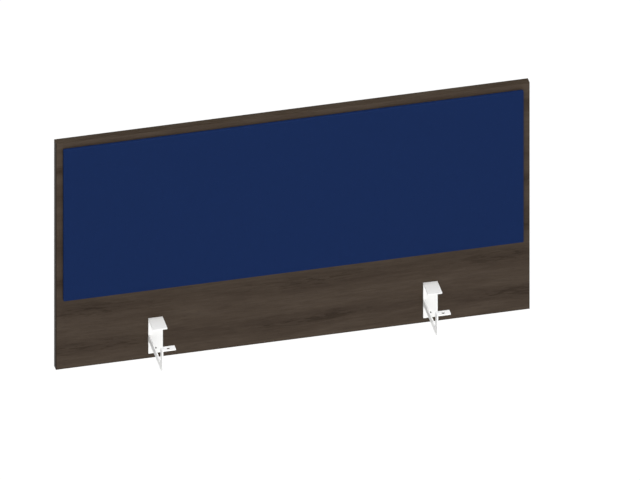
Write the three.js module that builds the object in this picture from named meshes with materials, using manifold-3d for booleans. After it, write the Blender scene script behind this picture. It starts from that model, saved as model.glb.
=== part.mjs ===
// Desk privacy panel: a wood-grain board with a fabric tackboard on its front. Two steel brackets hold it
// on the rear edge of a desk, and reach forward under the desk top.
//
// Millimetres. +X runs along the desk edge, -Y points towards the person at the desk and +Z is up. The
// origin is on the board's front face, at the middle of its width, level with the underside of the desk top.
import * as THREE from "three";
import { mergeVertices } from "three/addons/utils/BufferGeometryUtils.js";
import Module from "manifold-3d";

// ---- Driving dimensions -------------------------------------------------------------------------------

// Board
const PANEL_WIDTH = 1524;
const PANEL_HEIGHT = 851;
const PANEL_THICKNESS = 25.4;
const DROP_BELOW_DESK = 150; // underside of the desk top to the board's lower edge
const BAND_THICKNESS = 2;
const BAND_CORNER_RADIUS = 1;

// Tackboard
const TACKBOARD_MARGIN = 22.2; // wood border at both sides and above
const BORDER_BELOW_TACKBOARD = 261.4;
const TACKBOARD_FRONT = 12.7; // front of the fabric, from the board's face
const TACKBOARD_CORE_THICKNESS = 9.5;
const FABRIC_THICKNESS = 0.8;
const HEM_WIDTH = 35; // fabric turned in behind the core
const PAD_SIZE = 50;
const PAD_THICKNESS = 1.1;
const PAD_COLUMNS = 3;
const PAD_ROWS = 2;
const PAD_EDGE_DISTANCE = 90; // centre of the outer pads to the tackboard's edge

// Brackets
const BRACKET_CENTRE = 442; // middle of each back plate, from the middle of the board
const STEEL_THICKNESS = 4.2;
const PLATE_WIDTH = 46;
const PLATE_HEIGHT = 131;
const PLATE_CORNER_RADIUS = 1; // lower corners of the plate and front corners of the tab
const TAB_LENGTH = 68; // from the board's face to the tab's front edge
const ANGLE_OUTSIDE_RADIUS = 0.6; // the plate and the tab are one length of square-cornered rolled angle
const ANGLE_INSIDE_RADIUS = 2;
const BEND_INSIDE_RADIUS = 1.5; // between the leg and the foot
const STRIP_WIDTH = 22.2; // width of the arm, its leg and its foot
const ARM_TOP_DEPTH = 60.5; // underside of the desk top to the arm's upper edge
const ARM_REACH = 190.5; // from the board's face to the leg's front edge
const ARM_OUTER_RADIUS = 19;
const ARM_INNER_RADIUS = 6;
const FOOT_LENGTH = 45;
const FOOT_CORNER_RADIUS = 1;
const FOOT_HOLE_DIAMETER = 12;
const WELD_LEG = 4;
const WELD_CROWN = 0.58; // how far the middle of the bead stands out, as a share of its leg

// Plate screws: countersunk wood screws, axis along Y
const SCREW_HEIGHTS = { lower: -112.8, upper: -36.6 };
const SCREW_HEAD_DIAMETER = 6.2;
const SCREW_SHANK_DIAMETER = 3.2;
const SCREW_HEAD_DEPTH = 1.9;
const SCREW_LENGTH = 20;
const SCREW_TIP_LENGTH = 4;
const SCREW_RECESS_DIAMETER = 2.4;
const SCREW_RECESS_DEPTH = 1.1;

// Gaps
const GLUE_GAP = 0.1; // between flat faces that are glued, welded or stretched together
const CUT_GAP = 0.3; // between a screw and the hole around it
const MERGE_DISTANCE = 0.0001; // points closer than this are one point

// Facets of a quarter turn and of a full turn
const CORNER_SEGMENTS = 6;
const ROUND_SEGMENTS = 28;

// ---- Places worked out from the dimensions ------------------------------------------------------------

const HALF_WIDTH = PANEL_WIDTH / 2;
const PANEL_BOTTOM = -DROP_BELOW_DESK;
const PANEL_TOP = PANEL_BOTTOM + PANEL_HEIGHT;
const BEND_OUTSIDE_RADIUS = BEND_INSIDE_RADIUS + STEEL_THICKNESS;
const THROUGH_STEEL = 4 * STEEL_THICKNESS; // a cut this long, centred on a steel face, goes right through

const tackboard = {
  width: PANEL_WIDTH - 2 * TACKBOARD_MARGIN,
  bottom: PANEL_BOTTOM + BORDER_BELOW_TACKBOARD,
  top: PANEL_TOP - TACKBOARD_MARGIN,
};
tackboard.height = tackboard.top - tackboard.bottom;
tackboard.centreZ = (tackboard.top + tackboard.bottom) / 2;
tackboard.coreBack = 2 * PAD_THICKNESS + GLUE_GAP; // back of the core, from the board's face

// ---- Materials ----------------------------------------------------------------------------------------

const material = (color, roughness, metalness = 0) =>
  new THREE.MeshStandardMaterial({ color, roughness, metalness });
const woodFace = () => material(0x483f36, 0.5);
const woodEdge = () => material(0x403a32, 0.5);
const fibreboard = () => material(0x8a6c48, 0.9);
const fabric = () => material(0x1b2c55, 0.95);
const hookAndLoop = () => material(0x18181a, 0.9);
const paintedSteel = () => material(0xf5f5f3, 0.4);
const blackSteel = () => material(0x2a2a2c, 0.45, 0.6);

// ---- Geometry helpers ---------------------------------------------------------------------------------

const wasm = await Module();
wasm.setup();

function toSolid(geometry) {
  const bare = geometry.clone();
  bare.deleteAttribute("normal");
  bare.deleteAttribute("uv");
  const merged = mergeVertices(bare, MERGE_DISTANCE);
  return new wasm.Manifold(
    new wasm.Mesh({
      numProp: 3,
      vertProperties: new Float32Array(merged.attributes.position.array),
      triVerts: new Uint32Array(merged.index.array),
    }),
  );
}

function toGeometry(solid) {
  const mesh = solid.getMesh();
  const geometry = new THREE.BufferGeometry();
  geometry.setAttribute("position", new THREE.BufferAttribute(mesh.vertProperties, 3));
  geometry.setIndex(new THREE.BufferAttribute(mesh.triVerts, 1));
  geometry.computeVertexNormals();
  return geometry;
}

function subtract(geometry, ...tools) {
  let solid = toSolid(geometry);
  for (const tool of tools) {
    solid = solid.subtract(toSolid(tool));
  }
  return toGeometry(solid);
}

function join(first, second) {
  return toGeometry(toSolid(first).add(toSolid(second)));
}

// A box from its lowest to its highest corner.
function boxBetween(low, high) {
  const size = high.map((value, axis) => value - low[axis]);
  const middle = high.map((value, axis) => (value + low[axis]) / 2);
  return new THREE.BoxGeometry(...size).translate(...middle);
}

// Extrusions of a flat outline. The letters name the outline's plane, and the depth runs along the third
// axis, from `start` towards +X, -Y or +Z.
const EXTRUSION_FRAMES = {
  yz: [new THREE.Vector3(0, 1, 0), new THREE.Vector3(0, 0, 1), new THREE.Vector3(1, 0, 0)],
  xz: [new THREE.Vector3(1, 0, 0), new THREE.Vector3(0, 0, 1), new THREE.Vector3(0, -1, 0)],
  xy: [new THREE.Vector3(1, 0, 0), new THREE.Vector3(0, 1, 0), new THREE.Vector3(0, 0, 1)],
};

function extrude(shape, plane, start, depth) {
  const geometry = new THREE.ExtrudeGeometry(shape, {
    depth,
    bevelEnabled: false,
    curveSegments: CORNER_SEGMENTS,
  });
  geometry.translate(0, 0, start);
  return geometry.applyMatrix4(new THREE.Matrix4().makeBasis(...EXTRUSION_FRAMES[plane]));
}

// An outline with rounded corners, from points [u, v, radius] in anticlockwise order.
function roundedOutline(points) {
  const shape = new THREE.Shape();
  points.forEach(([u, v, radius = 0], index) => {
    const corner = new THREE.Vector2(u, v);
    const [beforeU, beforeV] = points[(index + points.length - 1) % points.length];
    const [afterU, afterV] = points[(index + 1) % points.length];
    const towardsBefore = new THREE.Vector2(beforeU, beforeV).sub(corner).normalize();
    const towardsAfter = new THREE.Vector2(afterU, afterV).sub(corner).normalize();
    const start = corner.clone().addScaledVector(towardsBefore, radius);
    const end = corner.clone().addScaledVector(towardsAfter, radius);
    if (index === 0) {
      shape.moveTo(start.x, start.y);
    } else {
      shape.lineTo(start.x, start.y);
    }
    if (radius > 0) {
      const centre = start.clone().add(end).sub(corner);
      const from = Math.atan2(start.y - centre.y, start.x - centre.x);
      const to = Math.atan2(end.y - centre.y, end.x - centre.x);
      const isConvex = towardsAfter.cross(towardsBefore) > 0;
      shape.absarc(centre.x, centre.y, radius, from, to, !isConvex);
    }
  });
  shape.closePath();
  return shape;
}

// A cylinder along Y or Z.
function cylinderAlong(axis, radius, length) {
  const geometry = new THREE.CylinderGeometry(radius, radius, length, ROUND_SEGMENTS);
  return axis === "z" ? geometry.rotateX(Math.PI / 2) : geometry;
}

// Cuts a square corner back to a rounding. The corner is a point of the plane, and the signs point out of
// the solid.
function cornerTool(plane, [u, v], [signU, signV], radius) {
  const centre = [u - signU * radius, v - signV * radius];
  const beyond = [u + signU * radius, v + signV * radius];
  const shape = new THREE.Shape();
  shape.moveTo(centre[0], v);
  shape.absarc(...centre, radius, Math.atan2(signV, 0), Math.atan2(0, signU), signU * signV > 0);
  shape.lineTo(beyond[0], centre[1]);
  shape.lineTo(...beyond);
  shape.lineTo(centre[0], beyond[1]);
  shape.closePath();
  return extrude(shape, plane, -THROUGH_STEEL / 2, THROUGH_STEEL);
}

function part(name, geometry, partMaterial) {
  const mesh = new THREE.Mesh(geometry, partMaterial);
  mesh.name = name;
  return mesh;
}

// ---- Screws -------------------------------------------------------------------------------------------

const SCREW_HEAD_FACE = -STEEL_THICKNESS; // the head is flush with the plate's front

// The screw's outline from tip to head, grown outwards by `grow` for the hole around it.
function screwProfile(grow) {
  const headRadius = SCREW_HEAD_DIAMETER / 2 + grow;
  const shankRadius = SCREW_SHANK_DIAMETER / 2 + grow;
  const headFace = SCREW_HEAD_FACE - grow;
  const headEnd = SCREW_HEAD_FACE + SCREW_HEAD_DEPTH;
  const tip = SCREW_HEAD_FACE + SCREW_LENGTH + grow;
  return [
    new THREE.Vector2(0, headFace),
    new THREE.Vector2(headRadius, headFace),
    new THREE.Vector2(headRadius, SCREW_HEAD_FACE + CUT_GAP),
    new THREE.Vector2(shankRadius, headEnd),
    new THREE.Vector2(shankRadius, tip - SCREW_TIP_LENGTH),
    new THREE.Vector2(0, tip),
  ];
}

function screwSolid(grow) {
  return new THREE.LatheGeometry(screwProfile(grow), ROUND_SEGMENTS);
}

function makeScrew(name) {
  const recess = cylinderAlong("y", SCREW_RECESS_DIAMETER / 2, 2 * SCREW_RECESS_DEPTH);
  recess.translate(0, SCREW_HEAD_FACE, 0);
  return part(name, subtract(screwSolid(0), recess), blackSteel());
}

// The holes that the screws of one bracket leave in the plate and in the board behind it.
function screwHoles(centreX) {
  return Object.values(SCREW_HEIGHTS).map((z) => screwSolid(CUT_GAP).translate(centreX, 0, z));
}

// ---- Board --------------------------------------------------------------------------------------------

function makeBoardCore() {
  const inset = BAND_THICKNESS + GLUE_GAP;
  const body = boxBetween(
    [-HALF_WIDTH + inset, 0, PANEL_BOTTOM + inset],
    [HALF_WIDTH - inset, PANEL_THICKNESS, PANEL_TOP - inset],
  );
  const holes = [...screwHoles(-BRACKET_CENTRE), ...screwHoles(BRACKET_CENTRE)];
  return part("board_core", subtract(body, ...holes), woodFace());
}

// A band's cross-section, with its outer edge at u = 0 and its inner edge at u = -BAND_THICKNESS.
const BAND_SECTION = [
  [-BAND_THICKNESS, 0],
  [0, 0, BAND_CORNER_RADIUS],
  [0, PANEL_THICKNESS, BAND_CORNER_RADIUS],
  [-BAND_THICKNESS, PANEL_THICKNESS],
];

function makeSideBand(name, side) {
  const section = BAND_SECTION.map(([u, v, radius]) => [side * (HALF_WIDTH + u), v, radius]);
  const outline = roundedOutline(side > 0 ? section : section.reverse());
  const inset = BAND_THICKNESS + GLUE_GAP;
  return part(name, extrude(outline, "xy", PANEL_BOTTOM + inset, PANEL_HEIGHT - 2 * inset), woodEdge());
}

function makeLongBand(name, edgeZ, side) {
  const section = BAND_SECTION.map(([u, v, radius]) => [v, edgeZ + side * u, radius]);
  const outline = roundedOutline(side < 0 ? section : section.reverse());
  return part(name, extrude(outline, "yz", -HALF_WIDTH, PANEL_WIDTH), woodEdge());
}

function makeBoard() {
  const board = new THREE.Group();
  board.add(
    makeBoardCore(),
    makeLongBand("edge_band_top", PANEL_TOP, 1),
    makeLongBand("edge_band_bottom", PANEL_BOTTOM, -1),
    makeSideBand("edge_band_left", -1),
    makeSideBand("edge_band_right", 1),
  );
  return board;
}

// ---- Tackboard ----------------------------------------------------------------------------------------

// A block centred on the tackboard, inset from its outline, between two distances from the board's face.
function tackboardBlock(inset, back, front) {
  return boxBetween(
    [-tackboard.width / 2 + inset, -front, tackboard.bottom + inset],
    [tackboard.width / 2 - inset, -back, tackboard.top - inset],
  );
}

function makeTackboardCore() {
  const inset = FABRIC_THICKNESS + GLUE_GAP;
  const front = tackboard.coreBack + TACKBOARD_CORE_THICKNESS;
  return part("tackboard_core", tackboardBlock(inset, tackboard.coreBack, front), fibreboard());
}

// The cover is a tray: a front, four sides and a hem that is turned in behind the core.
function makeTackboardFabric() {
  const hemFront = tackboard.coreBack - GLUE_GAP;
  const hemBack = hemFront - FABRIC_THICKNESS;
  const frontInside = TACKBOARD_FRONT - FABRIC_THICKNESS;
  const cover = subtract(
    tackboardBlock(0, hemBack, TACKBOARD_FRONT),
    tackboardBlock(FABRIC_THICKNESS, hemFront, frontInside),
    tackboardBlock(HEM_WIDTH, 0, frontInside),
  );
  return part("tackboard_fabric", cover, fabric());
}

function makePad(name, x, z, back) {
  const half = PAD_SIZE / 2;
  const block = boxBetween([x - half, -back - PAD_THICKNESS, z - half], [x + half, -back, z + half]);
  return part(name, block, hookAndLoop());
}

// The mated pads behind the tackboard: hooks on the board, loops on the core.
function makePads() {
  const pads = [];
  const spanX = tackboard.width - 2 * PAD_EDGE_DISTANCE;
  const spanZ = tackboard.height - 2 * PAD_EDGE_DISTANCE;
  for (let row = 0; row < PAD_ROWS; row += 1) {
    for (let column = 0; column < PAD_COLUMNS; column += 1) {
      const number = row * PAD_COLUMNS + column + 1;
      const x = (column / (PAD_COLUMNS - 1) - 0.5) * spanX;
      const z = tackboard.centreZ + (0.5 - row / (PAD_ROWS - 1)) * spanZ;
      pads.push(makePad(`hook_pad_${number}`, x, z, 0));
      pads.push(makePad(`loop_pad_${number}`, x, z, PAD_THICKNESS + GLUE_GAP));
    }
  }
  return pads;
}

function makeTackboard() {
  const group = new THREE.Group();
  group.add(makeTackboardCore(), makeTackboardFabric(), ...makePads());
  return group;
}

// ---- Brackets -----------------------------------------------------------------------------------------
// Each bracket is made around x = 0 and then moved along the board. Both have the arm at the plate's left
// edge.

const PLATE_LEFT = -PLATE_WIDTH / 2;

// The back plate and its top tab.
function makeBracketPlate(name) {
  const tabUnderside = -STEEL_THICKNESS;
  const plateFront = -STEEL_THICKNESS;
  const profile = roundedOutline([
    [0, 0, ANGLE_OUTSIDE_RADIUS],
    [-TAB_LENGTH, 0],
    [-TAB_LENGTH, tabUnderside],
    [plateFront, tabUnderside, ANGLE_INSIDE_RADIUS],
    [plateFront, -PLATE_HEIGHT],
    [0, -PLATE_HEIGHT],
  ]);
  const strip = extrude(profile, "yz", PLATE_LEFT, PLATE_WIDTH);
  const corners = [-1, 1].flatMap((side) => [
    cornerTool("xy", [side * PLATE_WIDTH / 2, -TAB_LENGTH], [side, -1], PLATE_CORNER_RADIUS),
    cornerTool("xz", [side * PLATE_WIDTH / 2, -PLATE_HEIGHT], [side, -1], PLATE_CORNER_RADIUS),
  ]);
  return part(name, subtract(strip, ...screwHoles(0), ...corners), paintedSteel());
}

// The arm and its leg, cut from one plate that stands on edge.
function armOutline() {
  const plateFront = -STEEL_THICKNESS - GLUE_GAP;
  const legBack = -ARM_REACH + STRIP_WIDTH;
  const armBottom = -ARM_TOP_DEPTH - STRIP_WIDTH;
  return roundedOutline([
    [plateFront, armBottom],
    [plateFront, -ARM_TOP_DEPTH],
    [legBack, -ARM_TOP_DEPTH, ARM_INNER_RADIUS],
    [legBack, -BEND_OUTSIDE_RADIUS],
    [-ARM_REACH, -BEND_OUTSIDE_RADIUS],
    [-ARM_REACH, armBottom, ARM_OUTER_RADIUS],
  ]);
}

// The top of the leg, bent over to make the foot.
function footProfile() {
  const legRight = PLATE_LEFT + STEEL_THICKNESS;
  const footEnd = PLATE_LEFT + FOOT_LENGTH;
  const bendBottom = -2 * BEND_OUTSIDE_RADIUS; // the bend runs on down into the leg
  return roundedOutline([
    [PLATE_LEFT, bendBottom],
    [legRight, bendBottom],
    [legRight, -STEEL_THICKNESS, BEND_INSIDE_RADIUS],
    [footEnd, -STEEL_THICKNESS],
    [footEnd, 0],
    [PLATE_LEFT, 0, BEND_OUTSIDE_RADIUS],
  ]);
}

function makeSupportArm(name) {
  const arm = extrude(armOutline(), "yz", PLATE_LEFT, STEEL_THICKNESS);
  const foot = extrude(footProfile(), "xz", ARM_REACH - STRIP_WIDTH, STRIP_WIDTH);
  const hole = cylinderAlong("z", FOOT_HOLE_DIAMETER / 2, THROUGH_STEEL);
  hole.translate(PLATE_LEFT + FOOT_LENGTH / 2, -ARM_REACH + STRIP_WIDTH / 2, 0);
  const footEnd = PLATE_LEFT + FOOT_LENGTH;
  const corners = [
    cornerTool("xy", [footEnd, -ARM_REACH], [1, -1], FOOT_CORNER_RADIUS),
    cornerTool("xy", [footEnd, -ARM_REACH + STRIP_WIDTH], [1, 1], FOOT_CORNER_RADIUS),
  ];
  return part(name, subtract(join(arm, foot), hole, ...corners), paintedSteel());
}

// A fillet weld up the inside corner between the arm and the plate.
function makeArmWeld(name) {
  const armSide = PLATE_LEFT + STEEL_THICKNESS + GLUE_GAP;
  const plateFront = -STEEL_THICKNESS - GLUE_GAP;
  const bulge = WELD_LEG * WELD_CROWN;
  const bead = new THREE.Shape([
    new THREE.Vector2(armSide, plateFront),
    new THREE.Vector2(armSide, plateFront - WELD_LEG),
    new THREE.Vector2(armSide + bulge, plateFront - bulge),
    new THREE.Vector2(armSide + WELD_LEG, plateFront),
  ]);
  const bottom = -ARM_TOP_DEPTH - STRIP_WIDTH;
  return part(name, extrude(bead, "xy", bottom, STRIP_WIDTH), paintedSteel());
}

function makeBracket(side, centreX) {
  const bracket = new THREE.Group();
  bracket.add(
    makeBracketPlate(`bracket_plate_${side}`),
    makeSupportArm(`support_arm_${side}`),
    makeArmWeld(`arm_weld_${side}`),
  );
  for (const [place, z] of Object.entries(SCREW_HEIGHTS)) {
    const screw = makeScrew(`plate_screw_${side}_${place}`);
    screw.position.z = z;
    bracket.add(screw);
  }
  bracket.position.x = centreX;
  return bracket;
}

// ---- Assembly -----------------------------------------------------------------------------------------

const panel = new THREE.Group();
panel.add(
  makeBoard(),
  makeTackboard(),
  makeBracket("left", -BRACKET_CENTRE),
  makeBracket("right", BRACKET_CENTRE),
);

export default panel;
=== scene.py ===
"""Desk privacy panel: the looks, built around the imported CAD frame.

Metres, in the CAD's own frame.
"""

import math

import bmesh
import bpy
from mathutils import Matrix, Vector


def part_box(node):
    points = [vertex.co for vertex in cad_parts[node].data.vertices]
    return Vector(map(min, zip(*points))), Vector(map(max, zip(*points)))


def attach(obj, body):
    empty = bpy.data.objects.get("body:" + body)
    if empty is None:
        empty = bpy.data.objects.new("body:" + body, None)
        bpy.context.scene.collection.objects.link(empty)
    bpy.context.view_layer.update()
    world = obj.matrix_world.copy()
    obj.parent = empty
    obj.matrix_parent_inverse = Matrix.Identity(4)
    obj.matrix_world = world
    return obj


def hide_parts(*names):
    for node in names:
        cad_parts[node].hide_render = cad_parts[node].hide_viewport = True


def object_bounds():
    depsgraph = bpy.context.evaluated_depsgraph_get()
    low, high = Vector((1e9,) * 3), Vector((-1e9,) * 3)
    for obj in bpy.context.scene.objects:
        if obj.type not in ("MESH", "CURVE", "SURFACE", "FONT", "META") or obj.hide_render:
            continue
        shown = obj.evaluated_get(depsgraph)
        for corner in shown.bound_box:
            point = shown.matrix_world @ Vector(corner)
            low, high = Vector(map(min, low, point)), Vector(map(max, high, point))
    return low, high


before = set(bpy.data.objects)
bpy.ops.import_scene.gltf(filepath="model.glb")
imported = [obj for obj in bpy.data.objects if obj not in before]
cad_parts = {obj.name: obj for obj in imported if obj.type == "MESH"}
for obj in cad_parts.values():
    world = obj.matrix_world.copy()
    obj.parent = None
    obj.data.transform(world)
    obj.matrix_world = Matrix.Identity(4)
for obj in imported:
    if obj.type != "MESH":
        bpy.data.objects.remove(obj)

CAD_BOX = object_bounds()
BODY = "root"
MM = 0.001

# ---- Camera and light ---------------------------------------------------------------------------------

VIEW_AZIMUTH = math.radians(-13.15)
VIEW_ELEVATION = math.radians(33.55)
VIEW_WIDTH = 2.0046  # across the picture; the view is parallel
ORIGIN_IN_VIEW = (-0.0852, -0.1864)  # the frame's origin, right and up from the picture's middle
CAMERA_DISTANCE = 6.0
CAMERA_REACH = 4 * CAMERA_DISTANCE

OVERHEAD_STRENGTH = 0.20
HORIZON_STRENGTH = 1.0
HORIZON_BAND = (0.04, 0.12)  # the sines of the elevations between which the surroundings fade

# Lights: direction towards the light, strength in W/m2 and angular size in degrees. The front light is
# low and the top light is steep, so neither throws the brackets' shadows on the board. The back light
# reaches only the board's back and its right end.
FRONT_LIGHT = ((-0.14, -0.97, 0.20), 2.03, 60)
TOP_LIGHT = ((-0.08, -0.08, 0.99), 2.5, 30)
BACK_LIGHT = ((0.62, 0.78, 0.08), 1.5, 40)


def make_camera():
    back = Vector((
        math.sin(VIEW_AZIMUTH) * math.cos(VIEW_ELEVATION),
        -math.cos(VIEW_AZIMUTH) * math.cos(VIEW_ELEVATION),
        math.sin(VIEW_ELEVATION),
    ))
    turn = back.to_track_quat("Z", "Y")
    right, up = turn @ Vector((1, 0, 0)), turn @ Vector((0, 1, 0))
    data = bpy.data.cameras.new("camera")
    data.type = "ORTHO"
    data.ortho_scale = VIEW_WIDTH
    data.clip_end = CAMERA_REACH
    camera = bpy.data.objects.new("camera", data)
    camera.rotation_mode = "QUATERNION"
    camera.rotation_quaternion = turn
    camera.location = back * CAMERA_DISTANCE - right * ORIGIN_IN_VIEW[0] - up * ORIGIN_IN_VIEW[1]
    bpy.context.scene.collection.objects.link(camera)
    bpy.context.scene.camera = camera


def make_sun(name, towards, strength, size_degrees):
    data = bpy.data.lights.new(name, "SUN")
    data.energy = strength
    data.angle = math.radians(size_degrees)
    light = bpy.data.objects.new(name, data)
    light.rotation_mode = "QUATERNION"
    light.rotation_quaternion = Vector(towards).to_track_quat("Z", "Y")
    bpy.context.scene.collection.objects.link(light)


def make_world():
    """Surroundings that are dim overhead, and bright at the horizon and below it."""
    world = bpy.data.worlds.new("studio")
    world.use_nodes = True
    nodes, links = world.node_tree.nodes, world.node_tree.links
    direction = nodes.new("ShaderNodeTexCoord")
    height = nodes.new("ShaderNodeSeparateXYZ")
    fade = nodes.new("ShaderNodeMapRange")
    fade.inputs["From Min"].default_value = HORIZON_BAND[0]
    fade.inputs["From Max"].default_value = HORIZON_BAND[1]
    fade.inputs["To Min"].default_value = HORIZON_STRENGTH
    fade.inputs["To Max"].default_value = OVERHEAD_STRENGTH
    links.new(direction.outputs["Generated"], height.inputs[0])
    links.new(height.outputs["Z"], fade.inputs["Value"])
    links.new(fade.outputs[0], nodes["Background"].inputs["Strength"])
    nodes["Background"].inputs["Color"].default_value = (1, 1, 1, 1)
    bpy.context.scene.world = world


# ---- Materials ----------------------------------------------------------------------------------------


def linear(red, green, blue):
    """An 8-bit sRGB colour as linear RGBA."""
    def channel(value):
        share = value / 255
        return share / 12.92 if share <= 0.04045 else ((share + 0.055) / 1.055) ** 2.4
    return (channel(red), channel(green), channel(blue), 1.0)


class Graph:
    """A material and its node tree, built by short calls."""

    def __init__(self, name, **constants):
        self.material = bpy.data.materials.new(name)
        self.material.use_nodes = True
        self.tree = self.material.node_tree
        self.shader = self.tree.nodes["Principled BSDF"]
        for socket, value in constants.items():
            self.shader.inputs[socket.replace("_", " ")].default_value = value

    def feed(self, socket, value):
        if isinstance(value, bpy.types.NodeSocket):
            self.tree.links.new(value, socket)
        else:
            socket.default_value = value

    def node(self, kind, inputs=None, **settings):
        made = self.tree.nodes.new(kind)
        for name, value in settings.items():
            setattr(made, name, value)
        for socket, value in (inputs or {}).items():
            self.feed(made.inputs[socket], value)
        return made

    def place(self):
        return self.node("ShaderNodeTexCoord").outputs["Object"]

    def scaled(self, vector, factors):
        return self.node("ShaderNodeVectorMath", {0: vector, 1: factors}, operation="MULTIPLY").outputs[0]

    def shifted(self, vector, offset):
        return self.node("ShaderNodeVectorMath", {0: vector, 1: offset}, operation="ADD").outputs[0]

    def maths(self, operation, first, second=0.0, third=0.0):
        inputs = {0: first, 1: second, 2: third}
        return self.node("ShaderNodeMath", inputs, operation=operation).outputs[0]

    def noise(self, vector, scale=1.0, detail=2.0, roughness=0.5, distortion=0.0):
        inputs = {
            "Vector": vector, "Scale": scale, "Detail": detail,
            "Roughness": roughness, "Distortion": distortion,
        }
        return self.node("ShaderNodeTexNoise", inputs).outputs[0]

    def spread(self, value, low, high, to_low, to_high):
        inputs = {0: value, 1: low, 2: high, 3: to_low, 4: to_high}
        return self.node("ShaderNodeMapRange", inputs).outputs[0]

    def ramp(self, value, stops):
        made = self.node("ShaderNodeValToRGB", {0: value})
        elements = made.color_ramp.elements
        while len(elements) < len(stops):
            elements.new(0.5)
        for element, (position, color) in zip(elements, stops):
            element.position = position
            element.color = color
        return made.outputs[0]

    def blend(self, factor, first, second, mode="MIX"):
        made = self.node("ShaderNodeMix", data_type="RGBA", blend_type=mode)
        for index, value in ((0, factor), (6, first), (7, second)):
            self.feed(made.inputs[index], value)
        return made.outputs[2]

    def grey(self, value):
        return self.node("ShaderNodeCombineXYZ", {0: value, 1: value, 2: value}).outputs[0]

    def bump(self, height, distance, strength):
        inputs = {"Height": height, "Distance": distance, "Strength": strength}
        self.feed(self.shader.inputs["Normal"], self.node("ShaderNodeBump", inputs).outputs[0])

    def set(self, **values):
        for socket, value in values.items():
            self.feed(self.shader.inputs[socket.replace("_", " ")], value)


# ---- Wood-grain laminate ------------------------------------------------------------------------------

WOOD_DARK = linear(45, 34, 25)
WOOD_MIDDLE = linear(62, 51.3, 41.5)
WOOD_LIGHT = linear(75, 64.5, 54.5)
WOOD_STOPS = (0.34, 0.5, 0.66)  # the figure's values that get those three colours

NOISE_SPAN = (0.3, 0.7)  # nearly all of a noise's values lie between these

# Noise drawn out along the grain: cells per metre along and across it, detail, roughness, distortion.
BROAD_STREAKS = (3.2, 24, 3.0, 0.55, 0.3)
NARROW_STREAKS = (9, 105, 4.0, 0.6, 0.5)
FLECKS = (13, 95, 4.0, 0.6, 1.4)
FIBRES = (22, 700, 3.0, 0.65, 0.0)
PORES = (60, 1500, 2.0, 0.5, 0.0)
BROAD_SHARE = 0.26
NARROW_SHARE = 0.24
FIBRE_SHARE = 0.35
FIBRE_DARK = (0.55, 0.55, 0.55, 1.0)
FIBRE_LIGHT = (1.42, 1.42, 1.42, 1.0)
FIBRE_RELIEF = 0.4  # the fibres' height, as a share of the pores' depth
PORE_SPAN = (0.60, 0.70)  # the pore noise's values from which a pore starts and is full
PORE_SHADE = 0.62
PORE_DEPTH = 0.04 * MM
WOOD_ROUGHNESS = (0.46, 0.60)

WAVE_SCALE = (1.6, 3.0, 3.0)  # cells per metre of the slow bend in every streak
WAVE_HEIGHT = 12 * MM
FIGURE_PERIOD = 137 * MM  # of the light and dark bands that run the board's whole length
FIGURE_LIGHT = -8 * MM  # the height of one light band's middle
PATCH_PERIOD = 700 * MM  # along the dark bands, of the stretches where they are darkest
PATCH_MIDDLE = 39 * MM
BAND_CONTRAST = 0.032
DARK_BAND_SPAN = (-1, -0.1)  # the bands' values from which flecks are full and have gone
PATCH_SPAN = (-0.8, 0.5)  # the patches' values between which flecks grow from least to full
FLECK_SPAN = (0.52, 0.57)
FLECK_LEAST = 0.2
FLECK_TINT = (0.60, 0.55, 0.475, 1.0)
WANDER_ABOVE = 111 * MM  # over this height the bands' spacing wanders
WANDER_FADE = 100 * MM
WANDER = 50 * MM
WANDER_SCALE = (0.8, 1.0, 5.0)  # cells per metre
WANDER_PATCHES = 6.0  # how much further the dark stretches wander along the board
BOARD_TOP = CAD_BOX[1][2]
TOP_LIFT = 1.15  # how much paler the board is at its top; in part painted light that makes up for the tackboard's shade
NO_TINT = (1.0, 1.0, 1.0, 1.0)
STRIP_GREY_AND_SHEEN_TINT = (1.0, 1.05, 1.07, 1.0)  # the edge bands are a little greyer than the faces; in part a painted sheen, standing in for the pale reflection on them

# The board's and each edge band's grain axis, seed, brightness and specular level.
BOARD_WOOD = ("x", 0.31, 0.985, 0.12)
# The lower brightness of the bottom and end bands is painted shade: it darkens those faces for how the
# light falls on them.
BAND_WOODS = {
    "top": ("x", 4.7, 0.98, 0.04),
    "bottom": ("x", 6.1, 0.87, 0.04),
    "left": ("z", 7.9, 0.58, 0.03),
    "right": ("z", 9.3, 0.58, 0.03),
}


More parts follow.
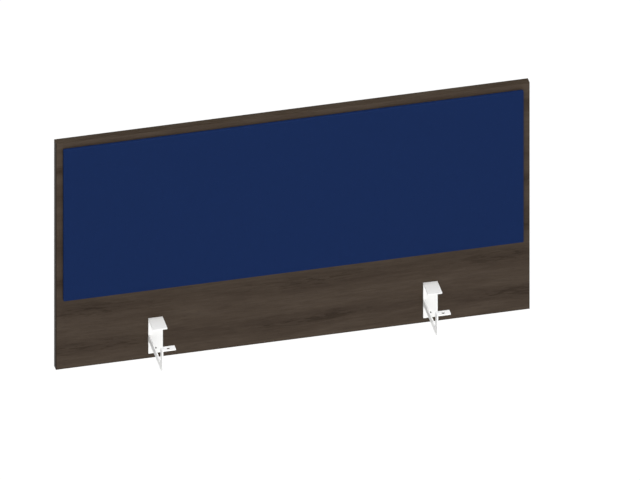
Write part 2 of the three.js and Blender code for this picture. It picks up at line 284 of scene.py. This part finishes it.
def wood_material(name, grain, seed, brightness, specular, grey_and_sheen_tint=NO_TINT):
    """Wood-grain laminate. grain is the axis that the grain runs along: "x" or "z"."""
    graph = Graph(name, Specular_IOR_Level=specular)
    place = graph.place()
    moved = graph.shifted(place, (seed, 2.3 * seed, 1.7 * seed))
    wave = graph.noise(graph.scaled(moved, WAVE_SCALE), 1.0, 1.0)
    sideways = (0, 1, 1) if grain == "x" else (1, 1, 0)
    bend = graph.scaled(graph.grey(graph.spread(wave, 0, 1, -WAVE_HEIGHT, WAVE_HEIGHT)), sideways)
    bent = graph.shifted(moved, bend)

    def streaks(along, across, detail, roughness, distortion):
        factors = tuple(along if axis == grain else across for axis in "xyz")
        return graph.noise(graph.scaled(bent, factors), 1.0, detail, roughness, distortion)

    def ripple(value, period, middle):
        """Runs from 1 at middle to -1 half a period away."""
        turn = 2 * math.pi / period
        return graph.maths("COSINE", graph.maths("MULTIPLY_ADD", value, turn, -turn * middle))

    middle = 0.5 - 0.5 * (BROAD_SHARE + NARROW_SHARE)
    value = graph.maths("MULTIPLY_ADD", streaks(*BROAD_STREAKS), BROAD_SHARE, middle)
    value = graph.maths("MULTIPLY_ADD", streaks(*NARROW_STREAKS), NARROW_SHARE, value)
    fleck_share = 0.0
    if grain == "x":
        spot = graph.node("ShaderNodeSeparateXYZ", {0: graph.shifted(place, bend)}).outputs
        reach = graph.spread(spot["Z"], WANDER_ABOVE, WANDER_ABOVE + WANDER_FADE, 0, WANDER)
        roam = graph.noise(graph.scaled(moved, WANDER_SCALE), 1.0, 1.0)
        roam = graph.spread(roam, *NOISE_SPAN, -1, 1)
        wander = graph.maths("MULTIPLY", roam, reach)
        bands = ripple(graph.maths("ADD", spot["Z"], wander), FIGURE_PERIOD, FIGURE_LIGHT)
        stretch = graph.maths("MULTIPLY_ADD", wander, WANDER_PATCHES, spot["X"])
        patches = ripple(stretch, PATCH_PERIOD, PATCH_MIDDLE)
        # Partly painted light: the face grows paler towards the board's top, making up for the shade the
        # proud tackboard casts on the border above it.
        lift = graph.spread(spot["Z"], WANDER_ABOVE, BOARD_TOP, 1.0, TOP_LIFT)
        brightness = graph.maths("MULTIPLY", lift, brightness)
        value = graph.maths("MULTIPLY_ADD", bands, BAND_CONTRAST, value)
        dark_band = graph.spread(bands, *DARK_BAND_SPAN, 1, 0)
        dark_patch = graph.spread(patches, *PATCH_SPAN, FLECK_LEAST, 1)
        darkness = graph.maths("MULTIPLY", dark_band, dark_patch)
        flecks = graph.spread(streaks(*FLECKS), *FLECK_SPAN, FLECK_LEAST, 1)
        fleck_share = graph.maths("MULTIPLY", flecks, darkness)
    color = graph.ramp(value, list(zip(WOOD_STOPS, (WOOD_DARK, WOOD_MIDDLE, WOOD_LIGHT))))
    color = graph.blend(fleck_share, color, FLECK_TINT, "MULTIPLY")
    fibres = streaks(*FIBRES)
    fibre_tone = graph.ramp(fibres, list(zip(NOISE_SPAN, (FIBRE_DARK, FIBRE_LIGHT))))
    color = graph.blend(FIBRE_SHARE, color, fibre_tone, "MULTIPLY")
    pores = graph.spread(streaks(*PORES), *PORE_SPAN, 1.0, PORE_SHADE)
    # On the bottom and end bands the brightness is painted shade.
    shade = graph.grey(graph.maths("MULTIPLY", pores, brightness))
    color = graph.blend(1.0, color, shade, "MULTIPLY")
    # Painted sheen in part: on the edge bands this grey tint stands in for the pale reflection on their
    # faces.
    color = graph.blend(1.0, color, grey_and_sheen_tint, "MULTIPLY")
    graph.set(Base_Color=color, Roughness=graph.spread(fibres, *NOISE_SPAN, *WOOD_ROUGHNESS))
    graph.bump(graph.maths("MULTIPLY_ADD", fibres, FIBRE_RELIEF, pores), PORE_DEPTH, 0.6)
    return graph.material


# ---- The other materials ------------------------------------------------------------------------------

THREAD_PITCH = 1.15 * MM
THREAD_HEIGHT = 0.25 * MM
FABRIC_WARP = linear(23, 42, 84.5)
FABRIC_WEFT = linear(18, 35.5, 73)
# Painted shade in the dips between the threads and a painted highlight on their tops.
THREAD_SHADE_AND_HIGHLIGHT = (0.45, 1.16)  # between the threads and on top of them
THREAD_FULLNESS = 0.6  # the power that broadens a thread's rounded top
SLUB_CELLS = 70.0  # per metre
SLUB_SHADE = (0.97, 1.03)

# The noises of the paint and the oxide are in cells per metre.
PAINT_TONES = (linear(241, 241, 240), linear(244, 244, 242))
PAINT_ROUGHNESS = (0.36, 0.48)
PAINT_TONE_CELLS = 30.0
PEEL_CELLS = 650.0
SPECK_CELLS = 2600.0
SPECK_RELIEF = 0.3  # the specks' height, as a share of the orange peel's
PEEL_DEPTH = 0.06 * MM
OXIDE_TONES = (linear(30, 30, 32), linear(62, 62, 66))
OXIDE_ROUGHNESS = (0.50, 0.34)
WEAR_CELLS = 900.0
OXIDE_GRAIN_CELLS = 3000.0
OXIDE_DEPTH = 0.01 * MM
FIBREBOARD_TONES = (linear(104, 78, 48), linear(142, 112, 76), linear(170, 142, 104))
FIBREBOARD_SCALE = (260, 900, 520)
FIBREBOARD_DEPTH = 0.2 * MM
# The second tone is painted shade in the gaps between the stems.
STEM_TONE_AND_GAP_SHADE = (linear(46, 46, 48), linear(20, 20, 22))
STEMS_PER_METRE = 900.0
STEM_HEIGHT = 0.4 * MM


def fabric_material(front, end, middle):
    """Plain-weave panel fabric on a cover whose face is at y = front and centred on z = middle.

    The threads turn back over the ends where abs(x) is past end, and over the top and bottom elsewhere.
    """
    graph = Graph("navy_fabric", Roughness=0.92, Specular_IOR_Level=0.04)
    position = graph.place()
    place = graph.node("ShaderNodeSeparateXYZ", {0: position}).outputs
    slub = graph.noise(position, SLUB_CELLS, 3.0, 0.6)
    depth = graph.maths("SUBTRACT", place["Y"], front)
    on_end = graph.maths("GREATER_THAN", graph.maths("ABSOLUTE", place["X"]), end)
    end_depth = graph.maths("MULTIPLY", depth, on_end)
    end_side = graph.maths("SIGN", place["X"])
    across = graph.maths("ADD", place["X"], graph.maths("MULTIPLY", end_depth, end_side))
    edge_depth = graph.maths("SUBTRACT", depth, end_depth)
    edge_side = graph.maths("SIGN", graph.maths("SUBTRACT", place["Z"], middle))
    up = graph.maths("ADD", place["Z"], graph.maths("MULTIPLY", edge_depth, edge_side))
    half_turn = math.pi / THREAD_PITCH
    warp = graph.maths("SINE", graph.maths("MULTIPLY", across, half_turn))
    weft = graph.maths("SINE", graph.maths("MULTIPLY", up, half_turn))
    warp_over = graph.maths("GREATER_THAN", graph.maths("MULTIPLY", warp, weft), 0.0)
    warp_height = graph.maths("ABSOLUTE", warp)
    weft_height = graph.maths("ABSOLUTE", weft)
    over = graph.blend(warp_over, graph.grey(weft_height), graph.grey(warp_height))
    thread = graph.node("ShaderNodeSeparateColor", {0: over}).outputs[0]
    height = graph.maths("POWER", thread, THREAD_FULLNESS)
    color = graph.blend(warp_over, FABRIC_WEFT, FABRIC_WARP)
    # Painted shade between the threads and a painted highlight on their tops, following the weave's height.
    shade = graph.grey(graph.spread(height, 0.0, 1.0, *THREAD_SHADE_AND_HIGHLIGHT))
    color = graph.blend(1.0, color, shade, "MULTIPLY")
    uneven = graph.grey(graph.spread(slub, *NOISE_SPAN, *SLUB_SHADE))
    color = graph.blend(1.0, color, uneven, "MULTIPLY")
    graph.set(Base_Color=color)
    graph.bump(height, THREAD_HEIGHT, 0.6)
    return graph.material


def paint_material():
    """White powder coat: a fine orange peel over steel."""
    graph = Graph("white_powder_coat", Specular_IOR_Level=0.4)
    place = graph.place()
    peel = graph.noise(place, PEEL_CELLS, 2.0, 0.5)
    specks = graph.noise(place, SPECK_CELLS, 2.0, 0.6)
    tone = graph.spread(graph.noise(place, PAINT_TONE_CELLS), *NOISE_SPAN, 0.0, 1.0)
    color = graph.blend(tone, *PAINT_TONES)
    graph.set(Base_Color=color, Roughness=graph.spread(specks, *NOISE_SPAN, *PAINT_ROUGHNESS))
    graph.bump(graph.maths("MULTIPLY_ADD", specks, SPECK_RELIEF, peel), PEEL_DEPTH, 0.8)
    return graph.material


def screw_material():
    """Black oxide on steel, worn a little brighter in patches."""
    graph = Graph("black_oxide", Metallic=0.85, Specular_IOR_Level=0.5)
    place = graph.place()
    wear = graph.noise(place, WEAR_CELLS, 3.0, 0.6)
    graph.set(
        Base_Color=graph.ramp(wear, list(zip((0.35, 0.7), OXIDE_TONES))),
        Roughness=graph.spread(wear, *NOISE_SPAN, *OXIDE_ROUGHNESS),
    )
    graph.bump(graph.noise(place, OXIDE_GRAIN_CELLS), OXIDE_DEPTH, 0.4)
    return graph.material


def fibreboard_material():
    """Raw fibreboard: short pale and dark fibres."""
    graph = Graph("raw_fibreboard", Roughness=0.95, Specular_IOR_Level=0.2)
    fibres = graph.noise(graph.scaled(graph.place(), FIBREBOARD_SCALE), 1.0, 4.0, 0.7)
    graph.set(Base_Color=graph.ramp(fibres, list(zip((0.3, 0.5, 0.72), FIBREBOARD_TONES))))
    graph.bump(fibres, FIBREBOARD_DEPTH, 0.6)
    return graph.material


def pad_material():
    """Hook-and-loop tape: a close field of tiny stems, with painted shade darkening the gaps between them.
    """
    graph = Graph("hook_and_loop", Roughness=0.85, Specular_IOR_Level=0.3)
    inputs = {"Vector": graph.place(), "Scale": STEMS_PER_METRE}
    cells = graph.node("ShaderNodeTexVoronoi", inputs).outputs["Distance"]
    # Painted shade: darker away from the stems, where the tape lies lowest.
    graph.set(Base_Color=graph.ramp(cells, list(zip((0.1, 0.6), STEM_TONE_AND_GAP_SHADE))))
    graph.bump(graph.maths("SUBTRACT", 1.0, cells), STEM_HEIGHT, 0.8)
    return graph.material


# ---- Meshes -------------------------------------------------------------------------------------------

SHARP_ANGLE = math.radians(34)
MERGE_DISTANCE = 0.001 * MM
FLAT_ANGLE = math.radians(0.3)  # faces that meet at less than this are one flat face
EASE_STEPS = 3
STRIP_EDGE = 0.25 * MM
STEEL_EDGE = 0.45 * MM
CORE_EDGE = 2.0 * MM
CORNER_STEPS = 6  # in each round corner of the cover and of the pads


def finish_piece(name, mesh, material, node):
    """Makes mesh a piece that stands for a CAD node and rides on its body."""
    piece = bpy.data.objects.new(name, mesh)
    bpy.context.scene.collection.objects.link(piece)
    mesh.materials.clear()
    mesh.materials.append(material)
    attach(piece, BODY)
    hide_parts(node)
    return piece


def smooth(mesh, sharp_angle):
    """Smooth shading, but for edges that turn by more than sharp_angle."""
    for polygon in mesh.polygons:
        polygon.use_smooth = True
    mesh.set_sharp_from_angle(angle=sharp_angle)


def apply_modifiers(piece):
    """The piece's mesh becomes what its modifiers make of it."""
    shape = piece.evaluated_get(bpy.context.evaluated_depsgraph_get())
    made = bpy.data.meshes.new_from_object(shape)
    piece.modifiers.clear()
    piece.data = made


def eased_copy(node, name, edge_radius, material):
    """A copy of a CAD node's mesh with its sharp edges rounded over."""
    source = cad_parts[node].data
    shape = bmesh.new()
    shape.from_mesh(source)
    bmesh.ops.remove_doubles(shape, verts=shape.verts, dist=MERGE_DISTANCE)
    bmesh.ops.dissolve_limit(shape, angle_limit=FLAT_ANGLE, verts=shape.verts, edges=shape.edges)
    mesh = bpy.data.meshes.new(name)
    shape.to_mesh(mesh)
    shape.free()
    piece = finish_piece(name, mesh, material, node)
    bevel = piece.modifiers.new("ease", "BEVEL")
    bevel.width = edge_radius
    bevel.segments = EASE_STEPS
    bevel.limit_method = "ANGLE"
    bevel.angle_limit = SHARP_ANGLE
    bevel.use_clamp_overlap = True
    bevel.harden_normals = True
    smooth(mesh, SHARP_ANGLE)
    apply_modifiers(piece)


def joined_loops(name, loops, sharp_angle=SHARP_ANGLE, start_closed=True):
    """A mesh through loops of points, with a flat face over its end and, if closed, over its start."""
    shape = bmesh.new()
    rings = [[shape.verts.new(point) for point in loop] for loop in loops]
    for first, second in zip(rings, rings[1:]):
        for i in range(len(first)):
            j = (i + 1) % len(first)
            shape.faces.new((first[i], first[j], second[j], second[i]))
    if start_closed:
        shape.faces.new(rings[0])
    shape.faces.new(rings[-1])
    bmesh.ops.recalc_face_normals(shape, faces=shape.faces)
    mesh = bpy.data.meshes.new(name)
    shape.to_mesh(mesh)
    shape.free()
    smooth(mesh, sharp_angle)
    return mesh


def arc(centre, radius, start, end, steps):
    """Points on an arc, angles in degrees."""
    angles = (math.radians(start + (end - start) * i / steps) for i in range(steps + 1))
    return [(centre[0] + radius * math.cos(a), centre[1] + radius * math.sin(a)) for a in angles]


def rounded_loop(centre, half_width, half_height, radius, y, side_steps):
    """A loop of points round a rectangle with rounded corners, about a centre (x, z), at one y."""
    corners = [(1, -1, -90), (1, 1, 0), (-1, 1, 90), (-1, -1, 180)]
    points = []
    for side_x, side_z, start in corners:
        middle = (side_x * (half_width - radius), side_z * (half_height - radius))
        points += arc(middle, radius, start, start + 90, CORNER_STEPS)
    loop = []
    for i, (x, z) in enumerate(points):
        loop.append((centre[0] + x, y, centre[1] + z))
        next_x, next_z = points[(i + 1) % len(points)]
        if (i + 1) % (CORNER_STEPS + 1) == 0:
            for k in range(1, side_steps):
                share = k / side_steps
                along = (x + (next_x - x) * share, z + (next_z - z) * share)
                loop.append((centre[0] + along[0], y, centre[1] + along[1]))
    return loop


# ---- Tackboard cover ----------------------------------------------------------------------------------

COVER_THICKNESS = 0.8 * MM
COVER_HEM = 35 * MM
COVER_EDGE_RADIUS = 2.2 * MM  # over the core's front edges
COVER_BACK_RADIUS = 1.4 * MM
COVER_CORNER_RADIUS = 3.0 * MM  # seen from the front
COVER_LEAST_RADIUS = 0.3 * MM
COVER_FACE_INSETS = (8 * MM, 30 * MM)  # of the two loops on the flat front
COVER_SHARP_ANGLE = math.radians(60)
COVER_SIDE_STEPS = 40
ARC_STEPS = 5


def cover_profile(front, back):
    """(inset, y) from the hem's inner edge, round the back and front edges, to the flat front."""
    at_back, at_front = COVER_BACK_RADIUS, COVER_EDGE_RADIUS
    profile = [(COVER_HEM, back)]
    for dx, dy in arc((0, 0), at_back, 90, 0, ARC_STEPS):
        profile.append((at_back - dx, back - at_back + dy))
    for dx, dy in arc((0, 0), at_front, 0, 90, ARC_STEPS):
        profile.append((at_front - dx, front + at_front - dy))
    return profile + [(inset, front) for inset in COVER_FACE_INSETS]


def make_cover():
    low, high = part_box("tackboard_fabric")
    centre = ((high.x + low.x) / 2, (high.z + low.z) / 2)
    loops = []
    for inset, y in cover_profile(low.y, high.y):
        half_width, half_height = (high.x - low.x) / 2 - inset, (high.z - low.z) / 2 - inset
        radius = max(COVER_CORNER_RADIUS - inset, COVER_LEAST_RADIUS)
        loops.append(rounded_loop(centre, half_width, half_height, radius, y, COVER_SIDE_STEPS))
    name = "tackboard_cover"
    mesh = joined_loops(name, loops, COVER_SHARP_ANGLE, start_closed=False)
    fabric = fabric_material(low.y, high.x - COVER_CORNER_RADIUS, centre[1])
    piece = finish_piece(name, mesh, fabric, "tackboard_fabric")
    solid = piece.modifiers.new("cloth", "SOLIDIFY")
    solid.thickness = COVER_THICKNESS
    solid.offset = -1
    apply_modifiers(piece)


# ---- Hook-and-loop pads -------------------------------------------------------------------------------

PAD_CORNER_RADIUS = 2 * MM
PAD_EDGE = 0.08 * MM
PAD_BACKING = 0.45 * MM  # thickness of the smooth backing
PAD_SIDE_STEPS = 72  # two to each stem along a side
STEM_INSET = 0.15 * MM  # from the backing's edge to the outer stems
STEM_DEPTH = 0.5 * MM  # how far the gaps between the outer stems go in


def make_pad(node, material):
    """A square of hook-and-loop tape: a smooth backing, and stems that stand out round its rim."""
    low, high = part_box(node)
    centre = ((high.x + low.x) / 2, (high.z + low.z) / 2)
    back, face = (high.y, low.y) if node.startswith("hook") else (low.y, high.y)
    side = 1 if face > back else -1
    half = (high.x - low.x) / 2

    def ring(inset, y):
        size = half - inset
        return rounded_loop(centre, size, size, PAD_CORNER_RADIUS - inset, y, PAD_SIDE_STEPS)

    def stems(inset, y):
        pairs = zip(ring(inset, y), ring(inset + STEM_DEPTH, y))
        return [outer if i % 2 else inner for i, (outer, inner) in enumerate(pairs)]

    loops = [
        ring(PAD_EDGE, back),
        ring(0, back + side * PAD_EDGE),
        ring(0, back + side * PAD_BACKING),
        stems(STEM_INSET, back + side * PAD_BACKING),
        stems(STEM_INSET, face - side * PAD_EDGE),
        stems(STEM_INSET + PAD_EDGE, face),
    ]
    name = f"{node}_tape"
    finish_piece(name, joined_loops(name, loops), material, node)


# ---- Bracket welds and screws -------------------------------------------------------------------------

WELD_ROOT = 0.2 * MM  # how far the bead runs into the two faces of its corner
WELD_CROWN = 0.08  # how far its middle bulges past a straight fillet, as a share of its leg
WELD_PITCH = 1.7 * MM
WELD_RIPPLE = 0.22 * MM
WELD_CURVE = 1.3 * MM  # how far a ripple's middle runs ahead of its ends
WELD_END = 2.2 * MM  # the length over which each end of the bead rounds off
WELD_END_SIZE = 0.45  # the bead's size at its very ends, as a share
WELD_TOE_RIPPLE = 0.4  # the ripples' share that is left beside the steel
WELD_STEPS = 130
WELD_ACROSS = 12

SCREW_SEGMENTS = 48
SCREW_EDGE = 0.12 * MM
SCREW_HEAD_DEPTH = 1.9 * MM
SCREW_SHANK_RADIUS = 1.6 * MM
SCREW_TIP_LENGTH = 4 * MM
SCREW_RECESS_DEPTH = 1.1 * MM
SCREW_RECESS_RADIUS = 1.15 * MM
SCREW_RECESS_LOBES = 6
SCREW_RECESS_WAVE = 0.15  # the lobes' height, as a share of the recess's radius
SCREW_THREAD_PITCH = 1.4 * MM
SCREW_THREAD_HEIGHT = 0.22 * MM
SCREW_THREAD_ROWS = 96


def make_weld(node, material):
    """A fillet bead with the ripples that the torch leaves, up the corner between the arm and the plate."""
    low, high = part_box(node)
    leg = high.x - low.x
    loops = []
    for step in range(WELD_STEPS + 1):
        z = low.z + (high.z - low.z) * step / WELD_STEPS
        from_end = min((z - low.z) / WELD_END, (high.z - z) / WELD_END, 1.0)
        size = WELD_END_SIZE + (1 - WELD_END_SIZE) * math.sqrt(1 - (1 - from_end) ** 2)
        loop = [(low.x - WELD_ROOT, high.y + WELD_ROOT, z)]
        for i in range(WELD_ACROSS + 1):
            share = i / WELD_ACROSS
            middle = 4 * share * (1 - share)
            turns = (z - low.z + WELD_CURVE * middle) / WELD_PITCH
            depth = WELD_TOE_RIPPLE + (1 - WELD_TOE_RIPPLE) * middle
            ripple = WELD_RIPPLE * (abs(math.sin(math.pi * turns)) - 1) * depth
            out = WELD_CROWN * middle * leg * size + ripple
            x = low.x + share * leg * size + out
            y = high.y - (1 - share) * leg * size - out
            loop.append((x, y, z))
        loops.append(loop)
    finish_piece(f"{node}_bead", joined_loops(f"{node}_bead", loops), material, node)


def make_screw(node, material):
    """A countersunk wood screw with a six-lobe recess and a rolled thread, its axis along Y."""
    low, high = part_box(node)
    centre = (low + high) / 2
    head = (high.x - low.x) / 2
    face, tip = low.y, high.y

    def ring(radius, y, lobes=0.0, thread=0.0):
        loop = []
        for i in range(SCREW_SEGMENTS):
            share = i / SCREW_SEGMENTS
            angle = 2 * math.pi * share
            turn = ((y - face) / SCREW_THREAD_PITCH - share) % 1.0
            ridge = max(0.0, 2 * abs(turn - 0.5) - 0.5)
            r = radius * (1 + lobes * math.cos(SCREW_RECESS_LOBES * angle)) + 2 * thread * ridge
            loop.append((centre.x + r * math.cos(angle), y, centre.z + r * math.sin(angle)))
        return loop

    loops = [
        ring(0.5 * SCREW_RECESS_RADIUS, face + SCREW_RECESS_DEPTH),
        ring(0.9 * SCREW_RECESS_RADIUS, face + SCREW_RECESS_DEPTH, SCREW_RECESS_WAVE),
        ring(SCREW_RECESS_RADIUS, face + 0.5 * SCREW_EDGE, SCREW_RECESS_WAVE),
        ring(SCREW_RECESS_RADIUS + 0.5 * SCREW_EDGE, face, SCREW_RECESS_WAVE),
        ring(head - SCREW_EDGE, face),
        ring(head, face + SCREW_EDGE),
        ring(head, face + 2 * SCREW_EDGE),
        ring(SCREW_SHANK_RADIUS, face + SCREW_HEAD_DEPTH),
    ]
    start = face + SCREW_HEAD_DEPTH + SCREW_THREAD_PITCH
    for row in range(SCREW_THREAD_ROWS):
        y = start + (tip - start) * row / SCREW_THREAD_ROWS
        taper = min((tip - y) / SCREW_TIP_LENGTH, 1.0)
        rise = min((y - start) / SCREW_THREAD_PITCH, 1.0)
        loops.append(ring(SCREW_SHANK_RADIUS * taper, y, 0.0, SCREW_THREAD_HEIGHT * rise * taper))
    mesh = joined_loops(f"{node}_blackened", loops)
    finish_piece(f"{node}_blackened", mesh, material, node)


# ---- Floor --------------------------------------------------------------------------------------------

FLOOR_HEIGHT = -0.724  # a desk top's underside stands this far above the floor
FLOOR_SIZE = 60.0
FLOOR_COLOR = (0.06, 0.06, 0.06, 1)
FLOOR_GLOW = 0.96


def make_floor():
    half = FLOOR_SIZE / 2
    mesh = bpy.data.meshes.new("floor")
    corners = [(-half, -half), (half, -half), (half, half), (-half, half)]
    mesh.from_pydata([(x, y, FLOOR_HEIGHT) for x, y in corners], [], [(0, 1, 2, 3)])
    graph = Graph("pale_floor", Roughness=1.0, Specular_IOR_Level=0.0)
    graph.set(Base_Color=FLOOR_COLOR, Emission_Color=(1, 1, 1, 1), Emission_Strength=FLOOR_GLOW)
    mesh.materials.append(graph.material)
    floor = bpy.data.objects.new("floor", mesh)
    bpy.context.scene.collection.objects.link(floor)


# ---- Assembly -----------------------------------------------------------------------------------------


def dress(node, material):
    """A CAD node keeps its shape and gets a better material."""
    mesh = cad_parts[node].data
    mesh.materials.clear()
    mesh.materials.append(material)


def main():
    bpy.context.scene.view_settings.view_transform = "Standard"
    make_camera()
    make_world()
    make_sun("front_light", *FRONT_LIGHT)
    make_sun("top_light", *TOP_LIGHT)
    make_sun("back_light", *BACK_LIGHT)
    make_floor()

    dress("board_core", wood_material("wood_face", *BOARD_WOOD))
    for side, wood in BAND_WOODS.items():
        band = wood_material(f"wood_band_{side}", *wood, STRIP_GREY_AND_SHEEN_TINT)
        eased_copy(f"edge_band_{side}", f"edge_band_{side}_strip", STRIP_EDGE, band)

    make_cover()
    fibreboard = fibreboard_material()
    eased_copy("tackboard_core", "tackboard_core_board", CORE_EDGE, fibreboard)
    pads = pad_material()
    for node in sorted(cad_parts):
        if "_pad_" in node:
            make_pad(node, pads)

    paint, black = paint_material(), screw_material()
    for side in ("left", "right"):
        for node in (f"bracket_plate_{side}", f"support_arm_{side}"):
            eased_copy(node, f"{node}_painted", STEEL_EDGE, paint)
        make_weld(f"arm_weld_{side}", paint)
        for place in ("lower", "upper"):
            make_screw(f"plate_screw_{side}_{place}", black)


main()
